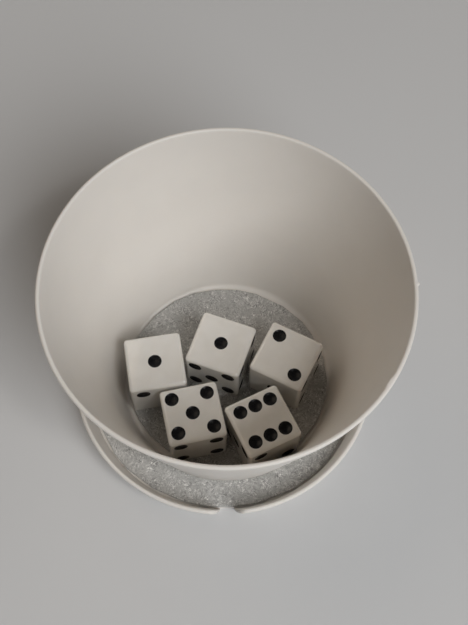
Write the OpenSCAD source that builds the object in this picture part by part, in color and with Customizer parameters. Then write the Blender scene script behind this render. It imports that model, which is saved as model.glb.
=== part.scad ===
// Dice cup with a felt floor, standing in a felt-lined tray with five dice.
// Z is up, and the origin is on the cup's axis, on the surface that the tray
// stands on.

/* [Cup] */
// Outside diameter of the cup's foot
cup_foot_d = 62; // [58:0.1:66]
// Outside diameter of the cup's mouth
cup_mouth_d = 90.6; // [86:0.1:100]
// Height of the cup from its foot to the top of its rim
cup_h = 62.1; // [50:0.1:80]
// Thickness of the cup's wall, measured level
cup_wall = 1.15; // [1:0.05:2]
// Thickness of the cup's closed floor
cup_floor = 1.8; // [1.2:0.1:3]
// Height of the bevel round the cup's foot
cup_foot_bevel = 0.5; // [0.2:0.1:1]

/* [Tray] */
// Outside diameter of the tray's foot
tray_foot_d = 81; // [78:0.1:86]
// Outside diameter of the tray's lip
tray_lip_d = 86.6; // [86:0.1:92]
// Height of the tray from its foot to the top of its lip
tray_h = 10.2; // [8:0.1:16]
// Thickness of the tray's wall, measured level
tray_wall = 1.2; // [1:0.1:2.4]
// Thickness of the tray's floor
tray_floor = 1.6; // [1.2:0.1:3]
// Height of the bevel round the tray's foot
tray_foot_bevel = 0.5; // [0.2:0.1:1]
// Where the tray's centre is from the cup's axis, left to right and front to back
tray_at = [-1, 1]; // [-2:0.1:2]
// Width of the slot through the tray's wall
slot_w = 4.2; // [4.2:0.1:8]
// Distance of the slot's middle to the right of the tray's centre
slot_x = 1.8; // [-4:0.1:4]
// Radius of the wall's top corners beside the slot
slot_round = 3.4; // [1:0.1:4]

/* [Felt] */
// Thickness of both felt discs
felt_t = 1; // [0.8:0.1:2]
// Thickness of the glue under each felt disc
glue_t = 0.2; // [0.1:0.05:0.3]
// Diameter of the cup's felt disc
cup_felt_d = 59.4; // [54:0.1:60]
// Diameter of the tray's felt disc
tray_felt_d = 79.2; // [74:0.1:79.4]
// How far the glue stops short of the edge of the felt
glue_inset = 1.8; // [0.3:0.1:3]

/* [Dice] */
// Length of a die's edge
die_size = 16; // [15:0.1:16]
// Radius of a die's rounded edges and corners
die_edge_r = 1.1; // [0.8:0.1:2]
// Diameter of a pip's dimple
pip_d = 3.9; // [3:0.1:4]
// Depth of a pip's dimple
pip_depth = 0.75; // [0.4:0.05:1]
// Thickness of the paint in a dimple
paint_t = 0.15; // [0.1:0.05:0.3]
// Distance of the corner pips from the middle of a face
pip_reach = 4.9; // [4:0.1:5]
// Distance of the pips of the two from the middle of its face
two_reach = 4.4; // [4:0.1:5]
// Distance of the two rows of the six from the middle of its face
six_row_reach = 4.6; // [4:0.1:5]
// Distance between the pips in a row of the six
six_pitch = 4.5; // [4.2:0.1:4.8]
// First die: place left to right, place front to back, turn, and the number on top
die_1_at = [-20.1, -2.6, 10.4, 1]; // [-22:0.1:360]
// Second die: place left to right, place front to back, turn, and the number on top
die_2_at = [-1.8, 3.2, 161.2, 1]; // [-22:0.1:360]
// Third die: place left to right, place front to back, turn, and the number on top
die_3_at = [16.7, -0.1, 153.9, 2]; // [-22:0.1:360]
// Fourth die: place left to right, place front to back, turn, and the number on top
die_4_at = [-9, -17.5, 103.1, 5]; // [-22:0.1:360]
// Fifth die: place left to right, place front to back, turn, and the number on top
die_5_at = [10, -19.3, 26.9, 6]; // [-22:0.1:360]

/* [Hidden] */

// Enough sides for smooth round walls, for small roundings and for the pips
$fn = 96;
rounding_fn = 32;
pip_fn = 48;
// A little extra, so that a cut passes right through
over = 1;

// Heights at which the pieces stand on each other
tray_felt_z = tray_floor + glue_t;
cup_z = tray_felt_z + felt_t;
cup_felt_z = cup_z + cup_floor + glue_t;
dice_z = cup_felt_z + felt_t;

// The slot starts just under the edge of the felt and runs out past the lip
slot_start = tray_felt_d / 2 - 0.4;
slot_len = tray_lip_d / 2 - slot_start + over;

// Radius of the ball that cuts a dimple, and the height of its centre over the face
pip_ball_r = (pow(pip_d / 2, 2) + pow(pip_depth, 2)) / (2 * pip_depth);
pip_ball_z = pip_ball_r - pip_depth;

// How the die is tipped to bring each number, from one to six, to the top
TIP_UP = [[0, 0, 0], [-90, 0, 0], [0, -90, 0], [0, 90, 0], [90, 0, 0], [0, 180, 0]];

// Where each number, from one to six, is on a die that has the one on top:
// the turn that takes the top face there
FACE_TURN = [[0, 0, 0], [90, 0, 0], [90, 0, 90], [90, 0, -90], [90, 0, 180], [180, 0, 0]];

cup_colour = [0.92, 0.91, 0.89];
felt_colour = [0.47, 0.46, 0.44];
glue_colour = [0.85, 0.82, 0.72];
dice_colour = [0.94, 0.91, 0.85];
paint_colour = [0.05, 0.05, 0.05];

// A round vessel with a closed floor, a wall that leans outward and a rounded rim
module vessel(foot_d, mouth_d, height, wall, floor_t, bevel) {
    rim_r = wall / 2;
    rim_z = height - rim_r;
    lean = (mouth_d - foot_d) / 2 / rim_z;
    rotate_extrude() {
        polygon([
            [0, 0],
            [foot_d / 2 - bevel, 0],
            [foot_d / 2 + lean * bevel, bevel],
            [mouth_d / 2, rim_z],
            [mouth_d / 2 - wall, rim_z],
            [foot_d / 2 - wall + lean * floor_t, floor_t],
            [0, floor_t]
        ]);
        translate([mouth_d / 2 - rim_r, rim_z]) circle(r = rim_r, $fn = rounding_fn);
    }
}

// What the slot takes away at the tray's front: a straight cut right through, and
// the wall's top corners beside it, which are left rounded
module slot_cut() {
    half_w = slot_w / 2;
    round_z = tray_h - slot_round;
    translate([-half_w, -slot_start - slot_len, -over])
        cube([slot_w, slot_len, tray_h + 2 * over]);
    translate([0, -slot_start, 0])
        rotate([90, 0, 0])
            linear_extrude(slot_len)
                difference() {
                    translate([-half_w - slot_round, round_z])
                        square([slot_w + 2 * slot_round, slot_round + over]);
                    for (side = [-1, 1])
                        translate([side * (half_w + slot_round), round_z])
                            circle(r = slot_round);
                }
}

module tray_dish() {
    color(cup_colour)
        translate([tray_at.x, tray_at.y, 0])
            difference() {
                vessel(tray_foot_d, tray_lip_d, tray_h, tray_wall, tray_floor, tray_foot_bevel);
                translate([slot_x, 0, 0]) slot_cut();
            }
}

module tray_glue() {
    color(glue_colour)
        translate([tray_at.x, tray_at.y, tray_floor])
            cylinder(d = tray_felt_d - 2 * glue_inset, h = glue_t);
}

module tray_felt() {
    color(felt_colour)
        translate([tray_at.x, tray_at.y, tray_felt_z])
            cylinder(d = tray_felt_d, h = felt_t);
}

module cup_shell() {
    color(cup_colour)
        translate([0, 0, cup_z])
            vessel(cup_foot_d, cup_mouth_d, cup_h, cup_wall, cup_floor, cup_foot_bevel);
}

module cup_glue() {
    color(glue_colour)
        translate([0, 0, cup_z + cup_floor])
            cylinder(d = cup_felt_d - 2 * glue_inset, h = glue_t);
}

module cup_felt() {
    color(felt_colour)
        translate([0, 0, cup_felt_z])
            cylinder(d = cup_felt_d, h = felt_t);
}

// A cube with rounded edges and corners, centred on the origin
module rounded_cube(size, r) {
    flat = size - 2 * r;
    cube([size, flat, flat], center = true);
    cube([flat, size, flat], center = true);
    cube([flat, flat, size], center = true);
    for (turn = [[0, 0, 0], [90, 0, 0], [0, 90, 0]])
        rotate(turn)
            for (x = [-1, 1], y = [-1, 1])
                translate([x * flat / 2, y * flat / 2, 0])
                    cylinder(r = r, h = flat, center = true, $fn = rounding_fn);
    for (x = [-1, 1], y = [-1, 1], z = [-1, 1])
        translate([x, y, z] * flat / 2) sphere(r = r, $fn = rounding_fn);
}

// The places of the pips on the face of a number, seen from outside
function corner_pips(s) = [[-s, s], [s, -s]];
function other_corner_pips(s) = [[-s, -s], [s, s]];
function six_pips() = [
    for (row = [-1, 1])
        for (k = [-1:1])
            [k * six_pitch, row * six_row_reach]
];
function pip_places(number) =
    number == 1 ? [[0, 0]] :
    number == 2 ? corner_pips(two_reach) :
    number == 3 ? concat([[0, 0]], other_corner_pips(pip_reach)) :
    number == 4 ? concat(corner_pips(pip_reach), other_corner_pips(pip_reach)) :
    number == 5 ? concat([[0, 0]], corner_pips(pip_reach), other_corner_pips(pip_reach)) :
    six_pips();

// Puts its children at each pip of a die that has the one on top, facing outward
module at_each_pip() {
    for (number = [1:6])
        rotate(FACE_TURN[number - 1])
            for (place = pip_places(number))
                translate([place.x, place.y, die_size / 2])
                    children();
}

// Puts its children where a die lies, tipped so that its top number is up
module die_place(at) {
    translate([at[0], at[1], dice_z + die_size / 2])
        rotate(at[2])
            rotate(TIP_UP[at[3] - 1])
                children();
}

module die_body(at) {
    color(dice_colour)
        die_place(at)
            difference() {
                rounded_cube(die_size, die_edge_r);
                at_each_pip()
                    translate([0, 0, pip_ball_z]) sphere(r = pip_ball_r, $fn = pip_fn);
            }
}

// The paint is a thin skin that lines every dimple
module die_paint(at) {
    color(paint_colour)
        die_place(at)
            at_each_pip()
                difference() {
                    translate([0, 0, pip_ball_z]) sphere(r = pip_ball_r, $fn = pip_fn);
                    translate([0, 0, pip_ball_z + paint_t]) sphere(r = pip_ball_r, $fn = pip_fn);
                    translate([-pip_d, -pip_d, 0]) cube([2 * pip_d, 2 * pip_d, 2 * pip_ball_r + over]);
                }
}

tray_dish();
tray_glue();
tray_felt();
cup_shell();
cup_glue();
cup_felt();
die_body(die_1_at);  // die_1
die_body(die_2_at);  // die_2
die_body(die_3_at);  // die_3
die_body(die_4_at);  // die_4
die_body(die_5_at);  // die_5
die_paint(die_1_at);  // die_1_pips
die_paint(die_2_at);  // die_2_pips
die_paint(die_3_at);  // die_3_pips
die_paint(die_4_at);  // die_4_pips
die_paint(die_5_at);  // die_5_pips
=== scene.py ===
"""A dice cup with a felt floor, standing in a felt-lined tray, with five dice in it.

Every size is in metres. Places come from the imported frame, and the other sizes
are the named values below.
"""

import math
import random

import bmesh
import bpy
from mathutils import Euler, Matrix, Vector, noise
from mathutils.geometry import tessellate_polygon


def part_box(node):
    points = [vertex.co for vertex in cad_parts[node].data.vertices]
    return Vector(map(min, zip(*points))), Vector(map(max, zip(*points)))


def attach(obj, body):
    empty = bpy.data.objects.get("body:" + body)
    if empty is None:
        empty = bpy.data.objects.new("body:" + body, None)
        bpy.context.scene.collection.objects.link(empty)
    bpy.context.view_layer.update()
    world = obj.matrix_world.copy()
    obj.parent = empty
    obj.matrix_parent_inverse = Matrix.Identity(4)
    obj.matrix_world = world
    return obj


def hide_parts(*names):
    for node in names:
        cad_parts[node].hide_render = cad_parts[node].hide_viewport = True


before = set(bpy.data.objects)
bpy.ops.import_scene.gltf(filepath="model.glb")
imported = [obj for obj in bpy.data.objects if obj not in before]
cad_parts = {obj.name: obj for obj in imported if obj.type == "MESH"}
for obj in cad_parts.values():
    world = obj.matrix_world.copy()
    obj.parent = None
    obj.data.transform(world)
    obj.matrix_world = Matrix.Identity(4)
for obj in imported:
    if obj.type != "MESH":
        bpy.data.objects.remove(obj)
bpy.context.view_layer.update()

MM = 0.001

# The cup and the tray, where their boxes don't give a size
CUP_FOOT_R = 31.0 * MM
CUP_WALL = 1.15 * MM
CUP_FLOOR = 1.8 * MM
TRAY_FOOT_R = 40.5 * MM
TRAY_WALL = 1.2 * MM
TRAY_FLOOR = 1.6 * MM
FOOT_ROUND = 0.5 * MM
INNER_ROUND = 1.5 * MM
# How far the printed walls stray from perfectly round
CUP_WAVER = 0.05 * MM
TRAY_WAVER = 0.06 * MM
# The slot through the tray's wall: its middle and its width
SLOT_X = 1.8 * MM
SLOT_W = 4.2 * MM
# Beside the slot the wall's top comes down by SLOT_DROP over a length of SLOT_ROUND
SLOT_ROUND = 3.0 * MM
SLOT_DROP = 6.6 * MM
# Seen from above, the roundings of the wall's outer and inner corners there
SLOT_OUTER_ROUND = 2.1 * MM
SLOT_INNER_ROUND = 0.4 * MM
# The wall's end there is a thin flat strip. It lies inside the wall's middle by this
# share of half the wall, and is this share of the wall thick
SLOT_END_INWARD = 0.8
SLOT_END_SHARE = 0.12
# How far the floor stops short of the felt's edge in the slot
FLOOR_SHORT = 0.4 * MM

# The print seam runs up the right of the cup and ends in a nub on the rim
SEAM_ANGLE = math.radians(0.8)
SEAM_W = 0.5 * MM
SEAM_H = 0.05 * MM
NUB_W = SEAM_W * 1.4
NUB_H = 0.42 * MM
NUB_REACH = 1.3 * MM
# A bulge on the inside of the rim, towards the front right
BULGE_ANGLE = math.radians(-33.5)
BULGE_W = 2.6 * MM
BULGE_H = 0.3 * MM

# The felt's cut edge, and how far its top rises and falls in small and in wide waves
FELT_EDGE_R = 0.3 * MM
FELT_FRAY = 0.003
FELT_SMALL_WAVE = 0.035 * MM
FELT_WIDE_WAVE = 0.045 * MM
FELT_SINK = 0.075 * MM

# The dice: edge, edge radius, and the pips' dimples and places
DIE_SIZE = 16 * MM
DIE_ROUND = 1.1 * MM
PIP_R = 1.95 * MM
PIP_DEPTH = 0.75 * MM
PIP_SIDES = 48
PIP_REACH = 4.9 * MM
TWO_REACH = 4.4 * MM
SIX_ROW_REACH = 4.6 * MM
SIX_PITCH = 4.5 * MM
# The paint sinks into the plastic a little, starts below the face, and sags in the middle
PAINT_SINK = 0.012 * MM
PAINT_START = 0.02 * MM
PAINT_SAG = 0.58 * PIP_DEPTH
# How each die lies: its turn in degrees and the number on top
DICE = {
    "die_1": (10.4, 1),
    "die_2": (161.2, 1),
    "die_3": (153.9, 2),
    "die_4": (103.1, 5),
    "die_5": (26.9, 6),
}
# How a die is tipped, in degrees, to bring each number to the top
TIP_UP = {
    1: (0, 0, 0),
    2: (-90, 0, 0),
    3: (0, -90, 0),
    4: (0, 90, 0),
    5: (90, 0, 0),
    6: (0, 180, 0),
}
# The turn, in degrees, that takes the top face to each number's place
FACE_TURN = {
    1: (0, 0, 0),
    2: (90, 0, 0),
    3: (90, 0, 90),
    4: (90, 0, -90),
    5: (90, 0, 180),
    6: (180, 0, 0),
}

CAMERA_AT = Vector((1.73, -98.39, 253.58)) * MM
CAMERA_PITCH = math.radians(64.37)
CAMERA_ROLL = math.radians(0.93)
CAMERA_LENS = 51.84
CAMERA_SENSOR = 36
LIGHT_TARGET = Vector((0, 0, 0.03))
FLOOR_HALF = 12.0

PRINT_WHITE = (0.80, 0.762, 0.712)


# ---------------------------------------------------------------- mesh helpers


def mesh_object(name, verts, faces, material, smooth=True):
    """A new object of these vertices and faces, with one material."""
    mesh = bpy.data.meshes.new(name)
    mesh.from_pydata(verts, [], faces)
    mesh.validate()
    if smooth:
        mesh.shade_smooth()
    mesh.materials.append(material)
    obj = bpy.data.objects.new(name, mesh)
    bpy.context.collection.objects.link(obj)
    return obj


def arc(x, z, r, start, end, steps):
    """Points on a circle about (x, z), from start to end in degrees."""
    points = []
    for k in range(steps + 1):
        a = math.radians(start + (end - start) * k / steps)
        points.append((x + r * math.cos(a), z + r * math.sin(a)))
    return points


def straight(start, end, steps):
    """Points between start and end, without start itself."""
    return [
        tuple(a + (b - a) * k / steps for a, b in zip(start, end))
        for k in range(1, steps + 1)
    ]


def even_angles(count, fine_at=(), fine_span=0.06, fine_count=24):
    """Angles round a circle in order, closer together near the angles in fine_at."""
    angles = {round(2 * math.pi * k / count, 6) for k in range(count)}
    for middle in fine_at:
        for k in range(-fine_count, fine_count + 1):
            angles.add(round((middle + fine_span * k / fine_count) % (2 * math.pi), 6))
    return sorted(angles)


def lathe(name, profile, angles, material, place, shape=None):
    """A closed solid of revolution. The profile's points are (radius, height), and its
    first and last are on the axis. shape(radius, height, angle) may move a point, and
    returns its (radius, height)."""
    inner = profile[1:-1]
    verts = [place + Vector((0, 0, profile[0][1])), place + Vector((0, 0, profile[-1][1]))]
    for a in angles:
        for r, z in inner:
            if shape:
                r, z = shape(r, z, a)
            verts.append(place + Vector((r * math.cos(a), r * math.sin(a), z)))
    n = len(inner)
    faces = []
    for k in range(len(angles)):
        here = 2 + k * n
        there = 2 + (k + 1) % len(angles) * n
        faces.append((0, there, here))
        for i in range(n - 1):
            faces.append((here + i, there + i, there + i + 1, here + i + 1))
        faces.append((1, here + n - 1, there + n - 1))
    return mesh_object(name, verts, faces, material)


def foot_middle(low, high):
    """The middle of the lower face of a box."""
    return Vector(((low.x + high.x) / 2, (low.y + high.y) / 2, low.z))


def bump_at(distance, width):
    """1 at no distance, falling smoothly to 0 at the width and beyond."""
    t = min(abs(distance) / width, 1)
    return (1 - t * t) ** 2


def angle_between(a, b):
    """The signed angle from b to a, from -pi to pi."""
    return (a - b + math.pi) % (2 * math.pi) - math.pi


def turn_outward(obj):
    """Turns the faces of a closed solid to look outward, and clears slivers from it."""
    bm = bmesh.new()
    bm.from_mesh(obj.data)
    bmesh.ops.dissolve_degenerate(bm, edges=bm.edges, dist=0.001 * MM)
    bare_edges = [edge for edge in bm.edges if not edge.link_faces]
    bmesh.ops.delete(bm, geom=bare_edges, context="EDGES")
    bmesh.ops.recalc_face_normals(bm, faces=bm.faces)
    bm.to_mesh(obj.data)
    bm.free()


def join_solids(obj, other):
    """Makes one solid of both, and removes the other object."""
    modifier = obj.modifiers.new("join", "BOOLEAN")
    modifier.operation = "UNION"
    modifier.solver = "EXACT"
    modifier.object = other
    apply_modifiers(obj)
    bpy.data.objects.remove(other, do_unlink=True)


def apply_modifiers(obj):
    """Makes the object's modifiers part of its mesh."""
    graph = bpy.context.evaluated_depsgraph_get()
    mesh = bpy.data.meshes.new_from_object(obj.evaluated_get(graph))
    obj.modifiers.clear()
    obj.data = mesh


def smooth_by_angle(obj, degrees):
    """Smooth faces, with sharp edges where two faces turn by more than the angle."""
    bm = bmesh.new()
    bm.from_mesh(obj.data)
    for face in bm.faces:
        face.smooth = True
    limit = math.radians(degrees)
    for edge in bm.edges:
        edge.smooth = len(edge.link_faces) == 2 and edge.calc_face_angle(0) < limit
    bm.to_mesh(obj.data)
    bm.free()


# ------------------------------------------------------------------- materials


class Shader:
    """A material whose nodes are made one by one."""

    def __init__(self, name):
        self.material = bpy.data.materials.new(name)
        self.material.use_nodes = True
        self.tree = self.material.node_tree
        self.bsdf = self.tree.nodes["Principled BSDF"]
        self.coords = self.add("ShaderNodeTexCoord").outputs["Object"]

    def add(self, kind, inputs=None, **settings):
        """A new node. Each input is a value, or another node's output to link."""
        node = self.tree.nodes.new(kind)
        for key, value in settings.items():
            setattr(node, key, value)
        for key, value in (inputs or {}).items():
            if isinstance(value, bpy.types.NodeSocket):
                self.tree.links.new(value, node.inputs[key])
            else:
                node.inputs[key].default_value = value
        return node

    def set(self, **values):
        """Values on the shader's own sockets, with _ for a space."""
        for key, value in values.items():
            self.bsdf.inputs[key.replace("_", " ")].default_value = value

    def link(self, output, socket):
        self.tree.links.new(output, self.bsdf.inputs[socket])

    def noise(
        self, size, detail=2.0, roughness=0.5, longer=1.0, turn=0.0, distortion=0.0, shift=0.0
    ):
        """Noise whose blobs are about size metres across, from 0 to 1. They may be longer
        than wide, and lie at a turn about Z."""
        coords = self.coords
        if longer != 1 or turn or shift:
            mapping = self.add("ShaderNodeMapping", {"Vector": coords}, vector_type="TEXTURE")
            mapping.inputs["Location"].default_value = (shift, shift, shift)
            mapping.inputs["Rotation"].default_value = (0, 0, turn)
            mapping.inputs["Scale"].default_value = (1, longer, 1)
            coords = mapping.outputs["Vector"]
        inputs = {"Vector": coords, "Scale": 1 / size, "Detail": detail, "Roughness": roughness}
        inputs["Distortion"] = distortion
        return self.add("ShaderNodeTexNoise", inputs).outputs["Fac"]

    def math(self, operation, a, b=0.0, clamp=False):
        node = self.add("ShaderNodeMath", {0: a, 1: b}, operation=operation, use_clamp=clamp)
        return node.outputs[0]

    def ramp(self, value, stops, smooth=True):
        """A colour for each value. stops are (place, colour)."""
        node = self.add("ShaderNodeValToRGB", {"Fac": value})
        node.color_ramp.interpolation = "EASE" if smooth else "LINEAR"
        elements = node.color_ramp.elements
        while len(elements) < len(stops):
            elements.new(0.5)
        for element, (place, colour) in zip(elements, stops):
            element.position = place
            element.color = (*colour, 1)
        return node.outputs["Color"]

    def multiply(self, factor, a, b):
        """Colour a times colour b, as far as the factor says."""
        node = self.add("ShaderNodeMix", data_type="RGBA", blend_type="MULTIPLY")
        colours = [socket for socket in node.inputs if socket.type == "RGBA"]
        if isinstance(factor, bpy.types.NodeSocket):
            self.tree.links.new(factor, node.inputs["Factor"])
        else:
            node.inputs["Factor"].default_value = factor
        self.tree.links.new(a, colours[0])
        self.tree.links.new(b, colours[1])
        return next(socket for socket in node.outputs if socket.type == "RGBA")

    def bump(self, height, distance, strength=1.0, under=None):
        """A normal for this height, on top of the normal in under."""
        inputs = {"Height": height, "Distance": distance, "Strength": strength}
        if under:
            inputs["Normal"] = under
        return self.add("ShaderNodeBump", inputs).outputs["Normal"]


def printed_plastic(name, tint):
    """White plastic printed in thin layers: faint level lines, and a soft satin surface."""
    s = Shader(name)
    layer = 0.2 * MM
    height = s.add("ShaderNodeSeparateXYZ", {"Vector": s.coords}).outputs["Z"]
    wander = s.math("MULTIPLY", s.noise(9 * MM, 1), 0.12 * MM)
    phase = s.math("MULTIPLY", s.math("ADD", height, wander), 2 * math.pi / layer)
    lines = s.math("SINE", phase)
    uneven = s.noise(14 * MM, 3, shift=0.3)
    fine = s.noise(0.25 * MM, 2)
    paler = tuple(min(c * 1.008, 1) for c in tint)
    darker = tuple(c * 0.99 for c in tint)
    s.link(s.ramp(uneven, [(0.35, darker), (0.65, paler)]), "Base Color")
    s.link(s.math("ADD", s.math("MULTIPLY", fine, 0.12), 0.4), "Roughness")
    layers = s.bump(lines, 0.0022 * MM, 0.5)
    s.link(s.bump(fine, 0.004 * MM, 0.35, layers), "Normal")
    s.set(IOR=1.46, Subsurface_Weight=0.12, Subsurface_Scale=1.2 * MM)
    s.set(Subsurface_Radius=(1.0, 0.85, 0.7))
    return s.material


def pressed_felt(name, turn, tone):
    """Grey wool felt: fine pale and dark fibres that lie in streaks, over a ground that
    hardly changes."""
    s = Shader(name)
    darker = tuple(c * tone for c in (0.225, 0.221, 0.212))
    paler = tuple(c * tone for c in (0.255, 0.25, 0.24))
    colour = s.ramp(s.noise(4 * MM, 3, 0.5), [(0.3, darker), (0.7, paler)])
    streaks = None
    for k, longer in enumerate((5.0, 4.0, 6.0, 4.5)):
        layer = s.noise(0.26 * MM, 2, 0.6, longer, turn + k * 0.8, 0.9, 0.013 * (k + 1))
        patch = s.noise(2.4 * MM, 1, shift=0.05 * k + 0.4)
        share = s.math("MULTIPLY", s.math("SUBTRACT", patch, 0.4), 2.6, clamp=True)
        stops = [(0.34, (0.5, 0.5, 0.5)), (0.5, (1, 1, 1)), (0.66, (1.7, 1.7, 1.7))]
        colour = s.multiply(share, colour, s.ramp(layer, stops, smooth=False))
        raised = s.math("MULTIPLY", layer, share)
        streaks = raised if streaks is None else s.math("MAXIMUM", streaks, raised)
    speck = s.noise(0.2 * MM, 3, 0.7)
    speckles = s.ramp(speck, [(0.3, (0.7, 0.7, 0.7)), (0.72, (1.35, 1.35, 1.35))])
    colour = s.multiply(0.45, colour, speckles)
    s.link(colour, "Base Color")
    fuzz = s.bump(speck, 0.05 * MM, 0.6)
    s.link(s.bump(streaks, 0.06 * MM, 0.6, fuzz), "Normal")
    s.set(Roughness=0.95, Sheen_Weight=0.25, Sheen_Roughness=0.45, Specular_IOR_Level=0.2)
    return s.material


def ivory_plastic(name):
    """Polished ivory-white plastic, a little cloudy, with fine scuffs."""
    s = Shader(name)
    cloud = s.noise(5 * MM, 2, shift=0.7)
    s.link(s.ramp(cloud, [(0.3, (0.80, 0.775, 0.728)), (0.7, (0.84, 0.817, 0.772))]), "Base Color")
    scuffs = s.noise(0.7 * MM, 4, 0.65)
    s.link(s.math("ADD", s.math("MULTIPLY", scuffs, 0.14), 0.1), "Roughness")
    s.link(s.bump(s.noise(1.6 * MM, 3), 0.01 * MM, 0.3), "Normal")
    s.set(IOR=1.5, Subsurface_Weight=0.25, Subsurface_Scale=1.5 * MM)
    s.set(Subsurface_Radius=(1.0, 0.9, 0.75))
    s.set(Coat_Weight=1.0, Coat_Roughness=0.04, Specular_IOR_Level=0.6)
    return s.material


def gloss_paint(name):
    """Black gloss paint that has dried a little unevenly."""
    s = Shader(name)
    specks = s.noise(0.22 * MM, 3, 0.6)
    blacks = [(0.4, (0.006, 0.006, 0.007)), (0.75, (0.018, 0.018, 0.019))]
    s.link(s.ramp(specks, blacks), "Base Color")
    s.link(s.math("ADD", s.math("MULTIPLY", specks, 0.16), 0.1), "Roughness")
    s.link(s.bump(s.noise(0.35 * MM, 3), 0.05 * MM, 0.8), "Normal")
    s.set(IOR=1.45, Specular_IOR_Level=0.2)
    return s.material


def glue_film(name):
    """A thin film of dried glue, yellowish and uneven."""
    s = Shader(name)
    yellows = [(0.3, (0.62, 0.56, 0.42)), (0.7, (0.72, 0.67, 0.53))]
    s.link(s.ramp(s.noise(3 * MM, 3), yellows), "Base Color")
    s.link(s.bump(s.noise(1.2 * MM, 2), 0.05 * MM, 0.5), "Normal")
    s.set(Roughness=0.35)
    return s.material


# ------------------------------------------------------------- cup and tray


def rounding_middle(corner_r, lean, r):
    """The distance from the axis of the middle of a rounding of radius r, which meets a
    level face and a wall that leans outward from corner_r on that face."""
    return corner_r + r * math.tan(lean) - r / math.cos(lean)


def foot_and_rim(foot_r, mouth_r, height, wall, foot_steps, rim_steps):
    """A leaning wall's lean from upright, its rounded foot and its rounded rim."""
    half = wall / 2
    lean = math.atan2(mouth_r - foot_r, height - half)
    tilt = math.degrees(lean)
    foot_middle_r = rounding_middle(foot_r, lean, FOOT_ROUND)
    foot = arc(foot_middle_r, FOOT_ROUND, FOOT_ROUND, -90, -tilt, foot_steps)
    rim = arc(mouth_r - half, height - half, half, -tilt, 180 - tilt, rim_steps)
    return lean, foot, rim


def cup_profile(mouth_r, height):
    """The cup's profile, from the middle of its underside to the middle of its floor."""
    wall_steps = 60
    lean, foot, rim = foot_and_rim(
        CUP_FOOT_R, mouth_r, height, CUP_WALL, foot_steps=5, rim_steps=14
    )
    corner_r = CUP_FOOT_R - CUP_WALL + math.tan(lean) * CUP_FLOOR
    corner_middle = rounding_middle(corner_r, lean, INNER_ROUND)
    corner_steps = 8
    tilt = math.degrees(lean)
    inside = arc(
        corner_middle, CUP_FLOOR + INNER_ROUND, INNER_ROUND, -tilt, -90, corner_steps
    )
    points = [(0, 0), (CUP_FOOT_R * 0.5, 0)]
    points += foot
    points += straight(foot[-1], rim[0], wall_steps)
    points += rim[1:]
    points += straight(rim[-1], inside[0], wall_steps)
    points += inside[1:]
    points += [(CUP_FOOT_R * 0.5, CUP_FLOOR), (0, CUP_FLOOR)]
    return points


def cup_shape(mouth_r, height):
    """Where the print isn't perfectly round: the seam, its nub, a bulge in the rim, and
    a wall that wavers by a few hundredths of a millimetre."""

    def shape(r, z, a):
        outside = r > CUP_FOOT_R + (mouth_r - CUP_FOOT_R) * z / height - CUP_WALL * 0.5
        along = angle_between(a, SEAM_ANGLE) * r
        under_rim = height - z
        if outside and z > FOOT_ROUND:
            r += SEAM_H * bump_at(along, SEAM_W)
            r += NUB_H * bump_at(along, NUB_W) * bump_at(under_rim, NUB_REACH)
        if not outside and z > height * 0.5:
            along = angle_between(a, BULGE_ANGLE) * r
            r -= BULGE_H * bump_at(along, BULGE_W) * bump_at(under_rim, NUB_REACH)
        waver = noise.noise(Vector((math.cos(a) * 2.5, math.sin(a) * 2.5, z / (12 * MM))))
        if z > CUP_FLOOR:
            r += waver * CUP_WAVER
        return r, z

    return shape


def make_cup(material):
    """The cup: one closed solid turned about its axis."""
    low, high = map(Vector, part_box("cup_shell"))
    mouth_r = (high.x - low.x) / 2
    height = high.z - low.z
    angles = even_angles(320, [SEAM_ANGLE, BULGE_ANGLE])
    profile = cup_profile(mouth_r, height)
    shape = cup_shape(mouth_r, height)
    cup = lathe("dice_cup", profile, angles, material, foot_middle(low, high), shape)
    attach(cup, "cup")
    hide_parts("cup_shell")


def tray_wall_outline(lip_r, height):
    """The outline of the tray's wall, cut across, as (radius, height) points."""
    outer_steps = 6
    inner_steps = 8
    _, foot, rim = foot_and_rim(
        TRAY_FOOT_R, lip_r, height, TRAY_WALL, foot_steps=4, rim_steps=12
    )
    inner_foot = (TRAY_FOOT_R - TRAY_WALL, 0)
    outline = [inner_foot] + foot + straight(foot[-1], rim[0], outer_steps) + rim[1:]
    outline += straight(rim[-1], inner_foot, inner_steps)[:-1]
    return outline


def quarter_round(distance, radius):
    """How far a rounded corner has risen, from 0 to 1, at a distance from its start."""
    left = max(1 - distance / radius, 0)
    return math.sqrt(1 - left**2)


def slot_stations(middle_r):
    """Angles from the front, from one side of the slot round to the other, and each one's
    distance from the slot. They are closer together near the slot."""
    start = math.asin((SLOT_X + SLOT_W / 2) / middle_r)
    end = 2 * math.pi + math.asin((SLOT_X - SLOT_W / 2) / middle_r)
    near_steps = 32
    far_steps = 300
    quarter = math.pi / 2
    near = [
        SLOT_ROUND * (1 - math.cos(quarter * j / near_steps)) for j in range(near_steps + 1)
    ]
    first = start + SLOT_ROUND / middle_r
    last = end - SLOT_ROUND / middle_r
    stations = [(start + d / middle_r, d) for d in near]
    stations += [
        (first + (last - first) * j / far_steps, SLOT_ROUND) for j in range(1, far_steps)
    ]
    stations += [(end - d / middle_r, d) for d in reversed(near)]
    return stations


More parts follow.
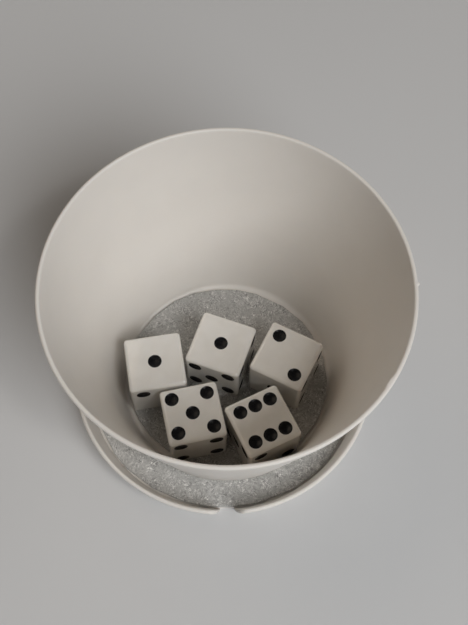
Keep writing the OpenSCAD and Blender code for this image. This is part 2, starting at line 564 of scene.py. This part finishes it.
def tray_wall_points(outline, stations, lean, height, place):
    """The outline's points at each station, drawn in and lowered beside the slot."""
    half = TRAY_WALL / 2
    core = -half * SLOT_END_INWARD
    points = []
    for a, distance in stations:
        top = height - SLOT_DROP * (1 - quarter_round(distance, SLOT_ROUND))
        outside = max(quarter_round(distance, SLOT_OUTER_ROUND), SLOT_END_SHARE)
        inside = max(quarter_round(distance, SLOT_INNER_ROUND), SLOT_END_SHARE)
        waver = noise.noise(Vector((math.cos(a) * 2, math.sin(a) * 2, 5))) * TRAY_WAVER
        for r, z in outline:
            low_z = z * top / height
            core_r = TRAY_FOOT_R - half + core + lean * low_z
            offset = r - (TRAY_FOOT_R - half + core + lean * z)
            share = outside if offset > 0 else inside
            rr = core_r + offset * share + waver * low_z / height
            points.append(place + Vector((rr * math.sin(a), -rr * math.cos(a), low_z)))
    return points


def make_tray(material):
    """The tray: its wall swept round from one side of the slot to the other, joined to
    its floor."""
    low, high = map(Vector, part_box("tray_dish"))
    lip_r = (high.x - low.x) / 2
    height = high.z - low.z
    felt_low, felt_high = map(Vector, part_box("tray_felt"))
    centre = (felt_low + felt_high) / 2
    place = Vector((centre.x, centre.y, low.z))
    outline = tray_wall_outline(lip_r, height)
    half = TRAY_WALL / 2
    lean = (lip_r - TRAY_FOOT_R) / (height - half)
    stations = slot_stations((TRAY_FOOT_R + lip_r) / 2 - half)
    verts = tray_wall_points(outline, stations, lean, height, place)
    n = len(outline)
    faces = []
    for s in range(len(stations) - 1):
        for i in range(n):
            j = (i + 1) % n
            faces.append((s * n + i, (s + 1) * n + i, (s + 1) * n + j, s * n + j))
    both_ends = [tuple(range(n)), tuple(range(len(verts) - n, len(verts)))]
    faces += both_ends
    tray = mesh_object("dice_tray", verts, faces, material)
    turn_outward(tray)

    felt_r = (felt_high.x - felt_low.x) / 2
    join_solids(tray, make_tray_floor(felt_r - FLOOR_SHORT, material, place))
    turn_outward(tray)
    smooth_by_angle(tray, 40)
    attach(tray, "tray")
    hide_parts("tray_dish")


def make_tray_floor(slot_start, material, place):
    """The tray's floor, which reaches into the wall, but stops under the felt in the slot."""
    floor_r = TRAY_FOOT_R - TRAY_WALL * 2 / 3
    sides = [
        math.asin((SLOT_X + side * SLOT_W / 2) / floor_r) - math.pi / 2 for side in (-1, 1)
    ]

    def shape(r, z, a):
        in_slot = sides[0] < angle_between(a, 0) < sides[1]
        return (min(r, slot_start) if in_slot else r), z

    radii = [0, floor_r * 0.5, floor_r]
    profile = [(r, 0) for r in radii] + [(r, TRAY_FLOOR) for r in reversed(radii)]
    angles = even_angles(300, sides, fine_span=0.012, fine_count=12)
    return lathe("tray_floor", profile, angles, material, place, shape)


# ------------------------------------------------------------------------ felt


def cut_outline(radius, seed, cuts, wander, squeeze, long_way):
    """The radius of a disc cut out by hand with scissors: short straight cuts between
    points that miss the drawn circle a little. The disc is narrower by squeeze across the
    direction long_way."""
    rng = random.Random(seed)
    corners = []
    for k in range(cuts):
        a = 2 * math.pi * (k + rng.uniform(-0.25, 0.25)) / cuts
        oval = radius - squeeze * math.sin(a - long_way) ** 2
        corners.append((a, oval * rng.uniform(1 - wander, 1)))

    def outline(angle):
        angle = angle % (2 * math.pi)
        for k in range(cuts):
            a0, r0 = corners[k]
            a1, r1 = corners[(k + 1) % cuts]
            span = (a1 - a0) % (2 * math.pi)
            t = ((angle - a0) % (2 * math.pi)) / span
            if t <= 1:
                x = r0 + (r1 * math.cos(span) - r0) * t
                y = r1 * math.sin(span) * t
                return math.hypot(x, y)
        return radius

    return outline


def felt_profile(radius, thick, rings):
    """The felt's profile, from the middle of its underside to the middle of its top."""
    flat = radius - FELT_EDGE_R
    under_rings = 12
    profile = [(0, 0)]
    profile += [(flat * k / under_rings, 0) for k in range(1, under_rings + 1)]
    profile += arc(flat, FELT_EDGE_R, FELT_EDGE_R, -70, 0, 3)
    profile += arc(flat, thick - FELT_EDGE_R, FELT_EDGE_R, 0, 90, 4)
    profile += [(flat * (1 - k / rings), thick) for k in range(1, rings)]
    profile += [(0, thick - 0.05 * MM)]
    return profile


def felt_disc(
    name,
    node,
    body,
    material,
    seed,
    cuts,
    wander,
    rings,
    segments,
    squeeze=0.0,
    long_way=0.0,
):
    """A disc of felt with a hand-cut edge and a matted surface."""
    low, high = map(Vector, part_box(node))
    radius = (high.x - low.x) / 2
    thick = high.z - low.z
    outline = cut_outline(radius, seed, cuts, wander, squeeze, long_way)
    top = thick - FELT_EDGE_R * 0.5

    def wave(x, y, length, layer):
        return noise.noise(Vector((x / length, y / length, layer)))

    def shape(r, z, a):
        cut = outline(a) / radius
        x = r * math.cos(a)
        y = r * math.sin(a)
        fray = 1 + FELT_FRAY * wave(x, y, 0.5 * MM, seed)
        if z > top:
            mats = wave(x, y, 0.7 * MM, seed) * FELT_SMALL_WAVE
            mats += wave(x, y, 3.5 * MM, seed + 9) * FELT_WIDE_WAVE
            z += mats - FELT_SINK
        return r * cut * fray, z

    profile = felt_profile(radius, thick, rings)
    angles = even_angles(segments)
    disc = lathe(name, profile, angles, material, foot_middle(low, high), shape)
    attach(disc, body)
    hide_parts(node)
    slices = 720
    squares = sum(outline(2 * math.pi * k / slices) ** 2 for k in range(slices))


# ------------------------------------------------------------------------ dice


def pip_places(number):
    """The places of a number's pips on its face, seen from outside."""
    a = PIP_REACH
    b = TWO_REACH
    falling = [(-a, a), (a, -a)]
    rising = [(-a, -a), (a, a)]
    sixes = [(k * SIX_PITCH, row * SIX_ROW_REACH) for row in (-1, 1) for k in (-1, 0, 1)]
    return {
        1: [(0, 0)],
        2: [(-b, b), (b, -b)],
        3: [(0, 0)] + rising,
        4: falling + rising,
        5: [(0, 0)] + falling + rising,
        6: sixes,
    }[number]


def face_matrix(number):
    """The turn that takes the top face to a number's place."""
    return Euler([math.radians(d) for d in FACE_TURN[number]]).to_matrix()


def dimple_depth(r):
    """How deep a pip's dimple is at a distance from its middle."""
    ball = (PIP_R**2 + PIP_DEPTH**2) / (2 * PIP_DEPTH)
    return math.sqrt(max(ball**2 - r * r, 0)) - (ball - PIP_DEPTH)


# Rings of a dimple as (distance from its middle, height), from the flat face inward
DIMPLE = [
    (PIP_R + 0.02 * MM, 0),
    (PIP_R, -0.012 * MM),
    (PIP_R - 0.03 * MM, -0.035 * MM),
]
DIMPLE += [(PIP_R * k, -dimple_depth(PIP_R * k)) for k in (0.93, 0.8, 0.6, 0.4, 0.2)]


def ring_points(place, r, z):
    """Points on a level ring about a pip's middle."""
    angles = [2 * math.pi * k / PIP_SIDES for k in range(PIP_SIDES)]
    return [
        Vector((place[0] + r * math.cos(a), place[1] + r * math.sin(a), z)) for a in angles
    ]


def close_ring(bm, outer, inner):
    """Faces between two rings of vertices."""
    for k in range(len(outer)):
        j = (k + 1) % len(outer)
        bm.faces.new((outer[k], outer[j], inner[j], inner[k]))


def die_face(bm, number):
    """One flat face of the die, with its dimples, on an edge that the rounding left open."""
    turn = face_matrix(number)
    half = DIE_SIZE / 2
    flat = half - DIE_ROUND
    square = [(-1, -1), (1, -1), (1, 1), (-1, 1)]

    def at(point):
        return bm.verts.new(turn @ (Vector(point) + Vector((0, 0, half))))

    edge = [Vector((x * flat, y * flat, 0)) for x, y in square]
    outlines = [edge]
    verts = [at(p) for p in edge]
    for place in pip_places(number):
        outlines.append(ring_points(place, *DIMPLE[0]))
        rings = [[at(p) for p in ring_points(place, r, z)] for r, z in DIMPLE]
        verts += rings[0]
        for outer, inner in zip(rings, rings[1:]):
            close_ring(bm, outer, inner)
        bottom = at((place[0], place[1], -PIP_DEPTH))
        for k in range(PIP_SIDES):
            bm.faces.new((rings[-1][k], rings[-1][(k + 1) % PIP_SIDES], bottom))
    for triangle in tessellate_polygon(outlines):
        bm.faces.new([verts[i] for i in triangle])


def rounded_cube_normal(point):
    """The exact direction that a rounded cube's surface faces, so that its flat faces are
    shaded flat right up to the rounding."""
    flat = DIE_SIZE / 2 - DIE_ROUND
    core = Vector([max(-flat, min(flat, c)) for c in point])
    return (point - core).normalized()


def die_mesh():
    """A die's mesh about its own centre: a cube with rounded edges and dimpled faces."""
    bm = bmesh.new()
    bmesh.ops.create_cube(bm, size=DIE_SIZE)
    bmesh.ops.bevel(
        bm,
        geom=list(bm.edges),
        offset=DIE_ROUND,
        offset_type="OFFSET",
        segments=10,
        profile=0.5,
        affect="EDGES",
    )
    flats = sorted(bm.faces, key=lambda f: f.calc_area())[-6:]
    bmesh.ops.delete(bm, geom=flats, context="FACES_ONLY")
    for number in range(1, 7):
        die_face(bm, number)
    bmesh.ops.remove_doubles(bm, verts=bm.verts, dist=0.001 * MM)
    bmesh.ops.recalc_face_normals(bm, faces=bm.faces)
    for face in bm.faces:
        face.smooth = True
    mesh = bpy.data.meshes.new("die")
    bm.to_mesh(mesh)
    bm.free()
    normals = [rounded_cube_normal(v.co) for v in mesh.vertices]
    mesh.normals_split_custom_set_from_vertices(normals)
    return mesh


def paint_mesh():
    """The paint of all of a die's pips: a hollow-topped skin in each dimple."""
    bm = bmesh.new()
    half = DIE_SIZE / 2
    steps = (1.0, 0.97, 0.9, 0.78, 0.6, 0.4, 0.2)
    for number in range(1, 7):
        turn = face_matrix(number)
        for place in pip_places(number):

            def at(r, z):
                points = ring_points(place, r, z)
                return [bm.verts.new(turn @ (p + Vector((0, 0, half)))) for p in points]

            tops = [at(PIP_R * k, -PAINT_START - PAINT_SAG * (1 - k**2.4)) for k in steps]
            unders = [at(PIP_R * k, -dimple_depth(PIP_R * k) - PAINT_SINK) for k in steps[1:]]
            for outer, inner in zip(tops, tops[1:]):
                close_ring(bm, outer, inner)
            bm.faces.new(tops[-1])
            for outer, inner in zip([tops[0]] + unders, unders):
                close_ring(bm, list(reversed(outer)), list(reversed(inner)))
            bm.faces.new(list(reversed(unders[-1])))
    bmesh.ops.recalc_face_normals(bm, faces=bm.faces)
    for face in bm.faces:
        face.smooth = True
    mesh = bpy.data.meshes.new("pips")
    bm.to_mesh(mesh)
    bm.free()
    return mesh


def make_die(node, body_mesh, pips_mesh, plastic, paint):
    """One die in its place, as its plastic and its paint."""
    low, high = map(Vector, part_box(node))
    turn, number = DICE[node]
    tip = Euler([math.radians(d) for d in TIP_UP[number]]).to_matrix().to_4x4()
    middle = Matrix.Translation((low + high) / 2)
    place = middle @ Matrix.Rotation(math.radians(turn), 4, "Z") @ tip
    body = "loose_" + node
    for name, mesh, material, cad_node, slot_name in (
        (node + "_ivory", body_mesh, plastic, node, "die_plastic"),
        (node + "_paint", pips_mesh, paint, node + "_pips", "pip_paint"),
    ):
        mesh = mesh.copy()
        mesh.transform(place)
        mesh.materials.append(material)
        obj = bpy.data.objects.new(name, mesh)
        bpy.context.collection.objects.link(obj)
        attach(obj, body)
        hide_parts(cad_node)


# --------------------------------------------------------- floor, light, camera


def make_floor():
    """The plain pale floor that everything stands on."""
    s = Shader("pale_floor")
    greys = [(0.3, (0.60, 0.60, 0.60)), (0.7, (0.63, 0.63, 0.63))]
    s.link(s.ramp(s.noise(0.4, 3), greys), "Base Color")
    s.set(Roughness=0.9)
    r = FLOOR_HALF
    corners = [(-r, -r, 0), (r, -r, 0), (r, r, 0), (-r, r, 0)]
    floor = mesh_object("floor", corners, [(0, 1, 2, 3)], s.material, smooth=False)


def area_light(name, azimuth, elevation, distance, size, power, colour):
    """A round soft light that looks at the cup. Azimuth is counted from +X towards +Y."""
    data = bpy.data.lights.new(name, "AREA")
    data.shape = "DISK"
    data.size = size
    data.energy = power
    data.color = colour
    light = bpy.data.objects.new(name, data)
    bpy.context.collection.objects.link(light)
    a = math.radians(azimuth)
    e = math.radians(elevation)
    way = Vector((math.cos(e) * math.cos(a), math.cos(e) * math.sin(a), math.sin(e)))
    light.location = LIGHT_TARGET + way * distance
    light.rotation_euler = way.to_track_quat("Z", "Y").to_euler()


def make_world(colour, strength):
    """A weak even light from all round."""
    world = bpy.data.worlds.new("soft_room")
    world.use_nodes = True
    back = world.node_tree.nodes["Background"]
    back.inputs["Color"].default_value = (*colour, 1)
    back.inputs["Strength"].default_value = strength
    bpy.context.scene.world = world


def make_camera():
    """The camera looks down into the cup from the front."""
    data = bpy.data.cameras.new("camera")
    data.sensor_width = CAMERA_SENSOR
    data.lens = CAMERA_LENS
    data.clip_start = 0.01
    camera = bpy.data.objects.new("camera", data)
    bpy.context.collection.objects.link(camera)
    right = Vector((1, 0, 0))
    ahead = Vector((0, math.cos(CAMERA_PITCH), -math.sin(CAMERA_PITCH)))
    up = right.cross(ahead)
    right_rolled = right * math.cos(CAMERA_ROLL) + up * math.sin(CAMERA_ROLL)
    up_rolled = up * math.cos(CAMERA_ROLL) - right * math.sin(CAMERA_ROLL)
    axes = Matrix((right_rolled, up_rolled, -ahead)).transposed()
    camera.matrix_world = Matrix.Translation(CAMERA_AT) @ axes.to_4x4()
    bpy.context.scene.camera = camera


make_camera()
make_floor()
make_world((1.0, 0.97, 0.93), 0.05)
area_light("key", -54, 44.5, 1.3, 0.85, 11.6, (0.975, 0.987, 1.0))
area_light("fill", 140, 55, 1.3, 0.9, 2.2, (1.0, 0.84, 0.68))
area_light("lamp", -42, 58, 1.3, 0.12, 1.0, (1.0, 0.97, 0.93))
area_light("back", 95, 13, 1.5, 1.0, 2.5, (1.0, 0.98, 0.96))

make_cup(printed_plastic("cup_print", PRINT_WHITE))
make_tray(printed_plastic("tray_print", PRINT_WHITE))
felt_disc(
    "cup_felt_disc",
    "cup_felt",
    "cup",
    pressed_felt("grey_felt_cup", turn=0.5, tone=1.8),
    seed=3,
    cuts=26,
    wander=0.008,
    rings=110,
    segments=420,
    squeeze=1.2 * MM,
    long_way=math.radians(-20),
)
felt_disc(
    "tray_felt_disc",
    "tray_felt",
    "tray",
    pressed_felt("grey_felt_tray", turn=1.4, tone=1.85),
    seed=8,
    cuts=30,
    wander=0.004,
    rings=140,
    segments=520,
)
glue = glue_film("glue")
for node in ("cup_glue", "tray_glue"):
    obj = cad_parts[node]
    obj.data.materials.clear()
    obj.data.materials.append(glue)

die_body = die_mesh()
die_pips = paint_mesh()
ivory = ivory_plastic("ivory")
black = gloss_paint("pip_black")
for node in DICE:
    make_die(node, die_body, die_pips, ivory, black)

bpy.context.scene.view_settings.view_transform = "Standard"
